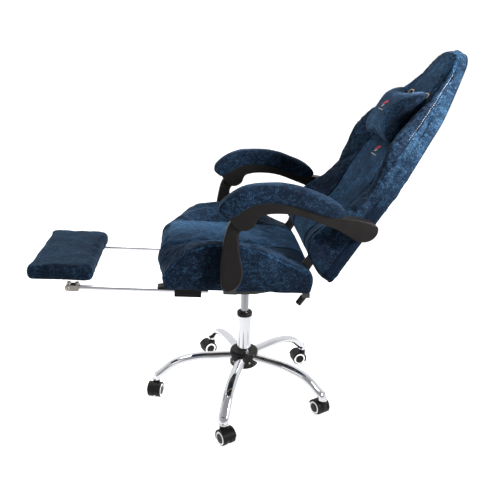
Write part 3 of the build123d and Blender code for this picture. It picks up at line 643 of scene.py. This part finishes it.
def above_board(points):
    """Height over the seat board's top, in millimetres."""
    return (points - np.array((0, 0, SEAT_LEVEL))) @ np.array(OFF_SEAT) * 1000


def near_board(width):
    """Held where the cover is stapled round the seat board."""
    return lambda points: 1 - (above_board(points) + BOARD_DEPTH - WRAP_HELD) / width


def near_hinge(radius):
    """Held where seat and back press together as the back comes upright."""

    def rule(points):
        return (radius - np.linalg.norm(points[:, 1:] - HINGE_YZ, axis=1)) / HINGE_EASE + 1

    return rule


def under_footrest(points):
    """Held flat under the footrest's board, which stows close under the guides."""
    return (FOOTREST_FREE - above_board(points)) / (FOOTREST_FREE - FOOTREST_HELD)


def on_rear_cover(points):
    """Held on the rear cover's inner face."""
    return (back_frame_of(points)[2] + 2) / 4


def wrap_board(points):
    """Carries the cover's lower edge down round the plywood and under it."""
    part = np.clip(above_board(points) / WRAP_FROM, 0, 1)
    drop_by = BOARD_DEPTH * (1 - part * part * (3 - 2 * part)) / 1000
    return points - drop_by[:, None] * np.array(OFF_SEAT)


# The armrest's shell, the cover's drape over it, and the pad's slices, least slice height and easing, in metres
SHELL_MID, SHELL_HALF, DRAPE, DRAPE_SHARE = 0.278, 0.0215, 0.010, 0.7
SLICE, SLICE_LEAST, SIDE_EASE, END_EASE = 0.012, 0.004, 0.004, 0.05


def drape_pad(points):
    """Draws the pad's long edges down over the sides of its moulded shell."""
    x, y, z = points.T
    spot = np.round(y / SLICE).astype(int)
    spot -= spot.min()
    low, high = np.full(spot.max() + 1, np.inf), np.full(spot.max() + 1, -np.inf)
    np.minimum.at(low, spot, z)
    np.maximum.at(high, spot, z)
    height = (z - low[spot]) / np.maximum(high[spot] - low[spot], SLICE_LEAST)
    outer = np.clip((np.abs(np.abs(x) - SHELL_MID) - SHELL_HALF + SIDE_EASE) / SIDE_EASE, 0, 1)
    ends = np.clip((y - y.min()) / END_EASE, 0, 1) * np.clip((y.max() - y) / END_EASE, 0, 1)
    drawn = outer * ends * np.clip(1 - height / DRAPE_SHARE, 0, 1) * DRAPE
    return points + drawn[:, None] * np.array(DOWN)


make_pad("seat_cushion", "seat", "blue_fabric", BLUE, voxel=0.006, rounds=5, cap=0.007, fill=0.8,
         held=held_where(near_seam_x(CENTRE_HALF, SEAM_WIDE), near_board(EDGE_WIDE), near_hinge(SEAT_HINGE)),
         wrap=wrap_board)
for side in SIDES:
    make_pad(f"seat_wing_{side}", "seat", "navy_fabric", NAVY, voxel=0.006, rounds=5, cap=0.004, fill=0.8,
             held=held_where(near_seam_x(CENTRE_HALF, SEAM_WIDE), near_board(EDGE_WIDE),
                             near_seam_x(WING_SEAM, EDGE_WIDE), near_hinge(SEAT_HINGE)),
             wrap=wrap_board)
BACK_HELD = held_where(near_back_seam(SEAM_WIDE), behind(FOAM_REST, 8), near_hinge(BACK_HINGE))
make_pad("back_cushion", "back", "blue_fabric", BLUE, voxel=0.006, rounds=4, cap=0.006, fill=0.7,
         held=BACK_HELD, shrink=0.002)
for side in SIDES:
    make_pad(f"back_bolster_{side}", "back", "navy_fabric", NAVY, voxel=0.006, rounds=5, cap=0.006, fill=0.8,
             held=BACK_HELD, shrink=0.002)
make_pad("back_rear_cover", "back", "navy_fabric", NAVY, voxel=0.0055, rounds=2, cap=0.002, fill=0.4,
         held=held_where(on_rear_cover), shrink=0.0005)
make_pad("head_pillow", "back", "blue_fabric", BLUE, voxel=0.005, rounds=4, cap=0.009, fill=0.6,
         held=held_where(behind(PILLOW_REST, 4)), shrink=0.001)
for side in SIDES:
    make_pad(f"arm_pad_{side}", f"armrest_{side}", "navy_fabric", NAVY, voxel=0.0045, rounds=5, cap=0.004,
             fill=0.85, held=held_where(loose), shrink=0.0005, wrap=drape_pad)
make_pad("footrest_pad", "footrest", "navy_fabric", NAVY, voxel=0.005, rounds=5, cap=0.005, fill=0.8,
         held=held_where(under_footrest), also=("footrest_board",), room=0.0)
inflate_pads()


# The crease and the pulled corners: place, spread and front or rear limit in millimetres, movement in metres
PINCH_S, PINCH_WIDE, PINCH_TALL, PINCH_FRONT, PINCH_DEPTH = 303, 5, 26, 30, 0.004
PULL_X, PULL_S, PULL_WIDE, PULL_TALL, PULL_FRONT, PULL_EASE = 96, 610, 40, 34, 104, 36
PULL_UP, PULL_IN = 0.018, 0.006
LUMP_SIZE, LUMP_DEPTH = 0.055, 0.0016


def pinch_shift(points, _):
    """The short crease that pressing leaves in the middle of the back."""
    x, s, t = back_frame_of(points)
    deep = np.exp(-((x / PINCH_WIDE) ** 2)) * np.exp(-(((s - PINCH_S) / PINCH_TALL) ** 4)) * (t > PINCH_FRONT)
    return deep[:, None] * PINCH_DEPTH * np.array(INTO_BACK)


def strap_pull(points, _):
    """The pillow's upper rear corners, drawn towards the strap slots."""
    x, s, t = back_frame_of(points)
    near = np.exp(-(((np.abs(x) - PULL_X) / PULL_WIDE) ** 2)) * np.exp(-(((s - PULL_S) / PULL_TALL) ** 2))
    near *= np.clip((PULL_FRONT - t) / PULL_EASE, 0, 1)
    return near[:, None] * (np.array(UP_BACK) * PULL_UP + np.array(INTO_BACK) * PULL_IN)


def foam_lumps(points, around):
    """Slow unevenness of hand-stuffed foam, along each point's normal."""
    heights = np.array([noise.noise(Vector(p) / LUMP_SIZE) for p in points])
    return around * (heights * LUMP_DEPTH)[:, None]


def sculpt(node, shift):
    """Moves a pad's points by shift(points, normals), in metres."""
    mesh = pads[node]["piece"].data
    points = coordinates(mesh)
    place(mesh, points + shift(points, normals(mesh)))


sculpt("back_cushion", pinch_shift)
sculpt("head_pillow", strap_pull)
for node in pads:
    if node != "back_rear_cover":
        sculpt(node, foam_lumps)


def panel(node, finishes, inside):
    """Gives each face the fabric that inside() numbers for its centre: 0 is the pad's own."""
    mesh = pads[node]["piece"].data
    for finish in finishes:
        mesh.materials.append(finish)
    chosen = inside(read(mesh.polygons, "center"))
    mesh.polygons.foreach_set("material_index", chosen.astype(np.int32))
    mesh.update()


# Where the head end's fabric starts, and the side band's depth as (up the back, forward of its rear face)
HEAD_FROM = 612
BAND_DEPTH = (
    (180, 300, 350, 420, 496, 549, 607, 658, 694, 737, 764, 800),
    (34, 52, 60, 60, 54, 49, 40, 35, 27, 18, 14, 12),
)


def band_and_head(points):
    _, s, t = back_frame_of(points)
    band = (t < np.interp(s, *BAND_DEPTH)) & (s > BAND_DEPTH[0][0])
    return np.where(band, 2, np.where(s > HEAD_FROM, 1, 0))


PILLOW_PANEL = 0.112
for side in SIDES:
    panel(f"back_bolster_{side}", (BLUE, BAND), band_and_head)
panel("head_pillow", (NAVY,), lambda points: np.abs(points[:, 0]) > PILLOW_PANEL)

for node, pad in pads.items():
    piece = pad["piece"]
    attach(piece, pad["body"])
    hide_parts(*pad["stands_for"])

skins = {}


def skin(*names):
    """A ray-cast surface over one or more pads."""
    if names not in skins:
        shapes = []
        for node in names:
            mesh = pads[node]["piece"].data
            verts = [Vector(p) for p in coordinates(mesh)]
            shapes.append((verts, [tuple(p.vertices) for p in mesh.polygons]))
        skins[names] = BVHTree.FromPolygons(*joined(shapes))
    return skins[names]


def drop(surface, point, direction, lift=0.0):
    """The point moved along direction until it meets the surface, then lifted off it."""
    direction = Vector(direction).normalized()
    hit = surface.ray_cast(point, direction)[0]
    if hit is None:
        return None
    return hit - direction * lift


def on_skin(surface, points, direction, lift):
    """The points dropped on the surface, without those that miss it."""
    found = [drop(surface, p, direction, lift) for p in points]
    return [p for p in found if p is not None]


# ------------------------------------------------------------------ seams, piping and stitches
WELT_STEP = 0.004
STITCH, STITCH_GAP, STITCH_R, STITCH_STEP = 0.0042, 0.0026, 0.00055, 0.0011


def welt(name, path, body, finish, slot, radius):
    """A piped seam along path."""
    new_piece(name, *tube(smooth_path(path, WELT_STEP), radius), finish, body, slot)


def stitches(name, path, body, finish, slot):
    """A row of separate stitches along path."""
    run = smooth_path(path, STITCH_STEP)
    pitch = round((STITCH + STITCH_GAP) / STITCH_STEP)
    length = round(STITCH / STITCH_STEP)
    rows = [tube(run[k:k + length], STITCH_R, 5) for k in range(0, len(run) - length, pitch)]
    new_piece(name, *joined(rows), finish, body, slot)


def spread(low, high, count):
    """Evenly spaced numbers, both ends included."""
    return [low + (high - low) * k / (count - 1) for k in range(count)]


# How far the welts lie off the fabric, and where their guides start: across, in metres, in front of the
# back's rear face and beside its outline, in millimetres
SEAM_LIFT, WING_LIFT, EDGE_LIFT = -0.0008, -0.0006, 0.0004
BESIDE_SEAT, BEFORE_BACK, BESIDE_BACK = 0.30, 200, 60
# The wing's outer edge as (y, z), and the back's half width as (up the back, across), in millimetres
WING_EDGE = (
    (-270, 540), (-247, 569), (-223, 597), (-196, 620), (-168, 631), (-136, 639), (-92, 643), (-38, 637),
    (29, 619), (70, 599), (115, 577), (148, 560), (176, 545),
)
BACK_HALF = ((300, 345, 409, 510, 577, 657, 727, 764), (250, 247, 237, 213, 195, 150, 105, 78))


def wing_piping(side, sign):
    """The piping on the outer edge of a seat wing."""
    guide = smooth_path([Vector((sign * BESIDE_SEAT, y / 1000, z / 1000)) for y, z in WING_EDGE], 0.012)
    path = on_skin(skin(f"seat_wing_{side}"), guide, (-sign, 0, 0), WING_LIFT)
    welt(f"seat_wing_piping_{side}", path, "seat", BLUE, "navy_fabric", 0.0024)


def back_seam(side, sign):
    """The seam between the back's centre and its bolster."""
    back_skin = skin("back_cushion", f"back_bolster_{side}")
    guide = [on_back(sign * float(np.interp(s, *SEAM_CURVE)), s, BEFORE_BACK) for s in spread(6, 778, 90)]
    path = on_skin(back_skin, guide, INTO_BACK, SEAM_LIFT)
    welt(f"back_seam_{side}", path, "back", NAVY, "navy_fabric", 0.0018)


def back_edge(side, sign):
    """The edge where the front panels meet the side band, topstitched in cream round the head."""

    def band_line(low, high, count, further):
        guide = []
        for s in spread(low, high, count):
            x, depth = float(np.interp(s, *BACK_HALF)), float(np.interp(s, *BAND_DEPTH))
            guide.append(on_back(sign * (x + BESIDE_BACK), s, depth + further))
        return on_skin(skin(f"back_bolster_{side}"), guide, (-sign, 0, 0), EDGE_LIFT)

    welt(f"back_edge_piping_{side}", band_line(300, 740, 60, 0), "back", NAVY, "navy_fabric", 0.0016)
    stitches(f"head_stitches_{side}", band_line(480, 738, 46, 4), "back", CREAM, "blue_fabric")


for side, sign in SIDES.items():
    wing_piping(side, sign)
    back_seam(side, sign)
    back_edge(side, sign)


# ------------------------------------------------------------------ the band of fabric round the back's edge
# The left half of the back's outline from its lower edge to its top, as (across, up the back), the band's
# section as (inset, share of its depth), and its rear edge and the range of its front edge
RIM_FOOT = ((214, -8), (226, -7), (240, -2), (248, 8))
RIM = (
    (250, 23), (250, 120), (250, 220), (250, 300), (247, 345), (237, 409), (213, 510), (195, 577), (150, 657),
    (105, 727), (78, 764), (40, 790), (0, 800),
)
RIM_SECTION = (
    (5.5, 0.0), (1.6, 0.0), (0.5, 0.12), (0.1, 0.35), (0.0, 0.55), (0.3, 0.8), (1.4, 0.97), (5.5, 1.0),
)
RIM_REAR, RIM_LEAST, RIM_FRONT = -3.5, 25.0, 30
RIM_INSET, REAR_PIPING_INSET, REAR_PIPING_R = 0.5, 3.0, 0.0018


def back_rim():
    """The band round the back's edge, between bolsters and rear cover, and the piping at its rear."""
    half_way = [Vector((x, s, 0)) for x, s in RIM_FOOT + RIM]
    loop = half_way + [Vector((-p.x, p.y, 0)) for p in reversed(half_way[:-1])]
    path = smooth_path(loop, 5.0)
    verts = []
    for k, point in enumerate(path):
        along = (path[min(k + 1, len(path) - 1)] - path[max(k - 1, 0)]).normalized()
        inward = Vector((-along.y, along.x, 0))
        front = max(RIM_LEAST, min(RIM_FRONT, float(np.interp(point.y, *BAND_DEPTH)) + 1.0))
        for inset, share in RIM_SECTION:
            at = point + inward * (inset + RIM_INSET)
            verts.append(on_back(at.x, at.y, RIM_REAR + (front - RIM_REAR) * share))
    new_piece("back_side_band", verts, bridged(len(path), len(RIM_SECTION)), BAND, "back", "blue_fabric")
    ring = [on_back(p.x - REAR_PIPING_INSET * (1 if p.x > 0 else -1), p.y, RIM_REAR) for p in path]
    new_piece("back_rear_piping", *tube(ring, REAR_PIPING_R), NAVY, "back", "navy_fabric")


back_rim()


# ------------------------------------------------------------------ strap and its slots
# The slots' places and outline, the strap's width and thickness, in front and across the rear, and its route
# from the pillow through a slot as (up the back, forward of its rear face)
STRAP_X, STRAP_S = 70, 622
SLOT_REACH, SLOT_R, SLOT_POINTS, TRIM_R, TRIM_LEVELS = 11, 9.5, 40, 0.0021, (43.8, -6.0)
STRAP_WIDE, STRAP_THICK, REAR_WIDE, REAR_THICK = 0.028, 0.0018, 0.014, 0.0016
REAR_S, REAR_LEVEL, REAR_PAST = 610, -6.6, 13
STRAP_ROUTE = (
    (562, 46), (590, 46), (612, 46), (620, 43), (622, 34), (622, 12), (621, -3), (612, -6.4), (604, -6.6),
)
STRAP_SIDES, STRAP_SQUARE, STRAP_FLAT = 16, 0.35, 0.8


def band(points, width, thickness, across=ACROSS):
    """A flat strap along points, with rounded edges."""
    section = []
    for k in range(STRAP_SIDES):
        angle = 2 * math.pi * k / STRAP_SIDES
        c, s = math.cos(angle), math.sin(angle)
        wide = math.copysign(abs(c) ** STRAP_SQUARE, c) * width / 2
        section.append((wide, math.copysign(abs(s) ** STRAP_FLAT, s) * thickness / 2))
    verts = []
    for k, point in enumerate(points):
        along = (points[min(k + 1, len(points) - 1)] - points[max(k - 1, 0)]).normalized()
        up = along.cross(across).normalized()
        verts += [point + across * w + up * h for w, h in section]
    return verts, bridged(len(points), STRAP_SIDES)


def slot_trim(x, level):
    """A moulded ring round a strap slot."""
    ring = []
    for k in range(SLOT_POINTS):
        angle = 2 * math.pi * k / SLOT_POINTS
        wide = SLOT_REACH * math.copysign(1, math.cos(angle)) + SLOT_R * math.cos(angle)
        ring.append(on_back(x + wide, STRAP_S + SLOT_R * math.sin(angle), level))
    return tube(ring, TRIM_R, closed=True)


straps, trims = [], []
for sign in SIDES.values():
    x = sign * STRAP_X
    route = smooth_path([on_back(x, s, t) for s, t in STRAP_ROUTE], 0.004)
    straps.append(band(route, STRAP_WIDE, STRAP_THICK))
    trims += [slot_trim(x, level) for level in TRIM_LEVELS]
across_rear = [on_back(x, REAR_S, REAR_LEVEL) for x in spread(-STRAP_X - REAR_PAST, STRAP_X + REAR_PAST, 24)]
straps.append(band(across_rear, REAR_WIDE, REAR_THICK, UP_BACK))
strap = new_piece("pillow_strap_webbing", *joined(straps), STRAP, "back", "strap_webbing")
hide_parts("pillow_strap")
new_piece("strap_slot_trims", *joined(trims), BEIGE, "back", "strap_webbing")


# ------------------------------------------------------------------ plain sewn marks
MARK_FROM, MARK_PROUD, MARK_SUNK = 220, 0.0011, 0.002
LEAF = ((-17, 2), (-6, 16), (8, 22), (20, 14), (8, 10), (-4, 2))
TIP = ((-15, -6), (-2, -3), (6, 5), (-6, 1))
BARS_X, BARS_Y, BAR_WIDE, BAR_TALL = (-20, -13, -6, 1, 8, 15, 22), -14, 2.2, 1.3


def mark(name, surface, at_s, outlines, finish):
    """Raised thread patches over outlines given in millimetres across and up the back."""
    shapes = []
    for outline in outlines:
        ring = [Vector(p) for p in outline]
        dense = []
        for a, b in zip(ring, ring[1:] + ring[:1]):
            dense += [a.lerp(b, k / 4) for k in range(4)]
        low = on_skin(surface, [on_back(p.x, at_s + p.y, MARK_FROM) for p in dense], INTO_BACK, 0.0)
        count = len(low)
        top = [p + OFF_BACK * MARK_PROUD for p in low]
        sunk = [p - OFF_BACK * MARK_SUNK for p in low]
        faces = [tuple(range(count))]
        faces += [(k, k + count, (k + 1) % count + count, (k + 1) % count) for k in range(count)]
        shapes.append((top + sunk, faces))
    new_piece(name, *joined(shapes), finish, "back", "strap_webbing")


def bar(x, y, wide, tall):
    return ((x - wide, y - tall), (x + wide, y - tall), (x + wide, y + tall), (x - wide, y + tall))


def sewn_mark(name, surface, s):
    """A leaf, its tip and a row of bars, centred across the back at s."""
    mark(f"{name}_leaf", surface, s, (LEAF,), RED_THREAD)
    mark(f"{name}_tip", surface, s, (TIP,), CREAM)
    mark(f"{name}_bars", surface, s, [bar(x, BARS_Y, BAR_WIDE, BAR_TALL) for x in BARS_X], CREAM)


sewn_mark("pillow_mark", skin("head_pillow"), 532)
sewn_mark("back_mark", skin("back_cushion"), 404)


# ------------------------------------------------------------------ casters' rings and caps
# Profiles as (radius, height over the wheel's face)
WHEEL_RING = ((0.0218, -0.002), (0.0218, 0.0002), (0.0208, 0.0011), (0.0172, 0.0013), (0.0162, 0.0004))
WHEEL_CAP = ((0.0160, -0.002), (0.0160, 0.0012), (0.0148, 0.0024), (0.0080, 0.0030), (0.0050, 0.0031),
             (0.0046, 0.0024), (0.0010, 0.0023))

for joint in frame["joints"]:
    body = joint["child"]
    if "_roller_" not in body:
        continue
    at, axis = Vector(joint["pos_m"]), Vector(joint["axis"]).normalized()
    node = body.replace("roller", "wheel")
    reach = [(v.co - at).dot(axis) for v in nodes[node].data.vertices]
    outward = axis if abs(max(reach)) > abs(min(reach)) else -axis
    face = max((v.co - at).dot(outward) for v in nodes[node].data.vertices)
    for name, profile, finish, slot in (("ring", WHEEL_RING, WHITE, "white_plastic"),
                                        ("cap", WHEEL_CAP, CASTER, "caster_plastic")):
        raised = [(radius, face + height) for radius, height in profile]
        new_piece(f"{body}_{name}", *lathe(raised, at, outward), finish, body, slot)


# ------------------------------------------------------------------ screws
HUB_SIDE, HUB_SCREW_Z, HUB_SCREW_R = 0.0498, 0.132, 0.0036
FIRST_ARM, ARMS = -51.9, 5  # heading in degrees
FOOTREST_PIN, PIN_HEAD_R = on_seat(0, -561, -36), 0.0058
# As (share of the radius, height)
SCREW_PROFILE = (
    (1, -0.001), (1, 0.0004), (0.86, 0.0014), (0.5, 0.0020), (0.42, 0.0020), (0.36, 0.0009), (0.1, 0.0008),
)


def screw_head(name, at, axis, radius, body, slot):
    """A low dome with a round socket."""
    turned = lathe([(radius * share, height) for share, height in SCREW_PROFILE], at, axis, 24)
    new_piece(name, *turned, ZINC, body, slot)


for k in range(ARMS):
    heading = math.radians(FIRST_ARM + 360 / ARMS * k)
    spoke = Vector((math.cos(heading), math.sin(heading), 0))
    at = spoke * HUB_SIDE + Vector((0, 0, HUB_SCREW_Z))
    screw_head(f"hub_screw_{k + 1}", at, spoke, HUB_SCREW_R, "base", "black_plastic")
low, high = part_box("footrest_brackets")
for side, sign in SIDES.items():
    at = (high[0] if sign > 0 else low[0], FOOTREST_PIN.y, FOOTREST_PIN.z)
    screw_head(f"footrest_pin_head_{side}", at, (sign, 0, 0), PIN_HEAD_R, "footrest", "zinc_steel")


# ------------------------------------------------------------------ stage
FLOOR_SIZE = 14.0
FALL_FROM, FALL_TO = 0.56, 3.6  # along X
ZENITH_DIM, ZENITH_FROM, ZENITH_TO = 0.3, 0.12, 0.9  # by how far up a ray points


def build_floor():
    """A pale floor, bright round the chair and darker to one side, for the plated parts' dark cores."""
    mesh = bpy.data.meshes.new("floor")
    half = FLOOR_SIZE / 2
    corners = [(-half, -half, 0), (half, -half, 0), (half, half, 0), (-half, half, 0)]
    mesh.from_pydata(corners, [], [(0, 1, 2, 3)])
    floor = bpy.data.objects.new("floor", mesh)
    scene.collection.objects.link(floor)
    m = Shader("floor")
    fall = map_range(m.tree, m.axis("X"), FALL_FROM, FALL_TO)
    m.feed(Base_Color=m.ramp(fall, [(0.0, 0.50), (0.22, 0.20), (0.45, 0.20), (1.0, 0.42)]),
           Emission_Color=m.ramp(fall, [(0.0, 1.0), (0.22, 0.34), (0.45, 0.34), (1.0, 0.75)]))
    m.set(Roughness=0.9, Emission_Strength=0.86)
    mesh.materials.append(m.material)


def build_world():
    """A white studio that dims towards +X and overhead."""
    world = bpy.data.worlds.new("studio")
    world.use_nodes = True
    tree = world.node_tree
    background = tree.nodes["Background"]
    slope = tree.nodes.new("ShaderNodeSeparateXYZ")
    tree.links.new(tree.nodes.new("ShaderNodeTexCoord").outputs["Generated"], slope.inputs["Vector"])
    total = tree.nodes.new("ShaderNodeMath")
    tree.links.new(map_range(tree, slope.outputs["Z"], ZENITH_FROM, ZENITH_TO, ZENITH_DIM), total.inputs[0])
    tree.links.new(map_range(tree, slope.outputs["X"], -1, 1), total.inputs[1])
    ramp = tree.nodes.new("ShaderNodeValToRGB")
    for stop, (position, level) in zip(ramp.color_ramp.elements, ((0.42, 1.05), (0.90, 0.42))):
        stop.position, stop.color = position, colour(level)
    tree.links.new(total.outputs["Value"], ramp.inputs["Fac"])
    tree.links.new(ramp.outputs["Color"], background.inputs["Color"])
    scene.world = world


def area_light(name, at, towards, size, power, spread=180):
    data = bpy.data.lights.new(name, "AREA")
    data.shape = "RECTANGLE"
    data.size, data.size_y = size
    data.energy = power
    data.spread = math.radians(spread)
    obj = bpy.data.objects.new(name, data)
    scene.collection.objects.link(obj)
    obj.location = at
    obj.rotation_euler = (Vector(towards) - Vector(at)).to_track_quat("-Z", "Y").to_euler()


build_floor()
build_world()
area_light("key", (1.25, 1.75, 1.65), (0.2, 0.56, 1.02), (0.5, 0.6), 15, spread=40)
area_light("rear", (1.4, 2.4, 2.2), (0.1, 0.3, 0.8), (1.2, 1.2), 14)
area_light("fill", (2.6, -2.0, 2.2), (0, 0, 0.5), (1.6, 1.6), 9)
area_light("overhead", (-0.5, -0.5, 2.9), (0, 0.05, 0.5), (1.4, 1.8), 37)

scene.view_settings.view_transform = "Standard"
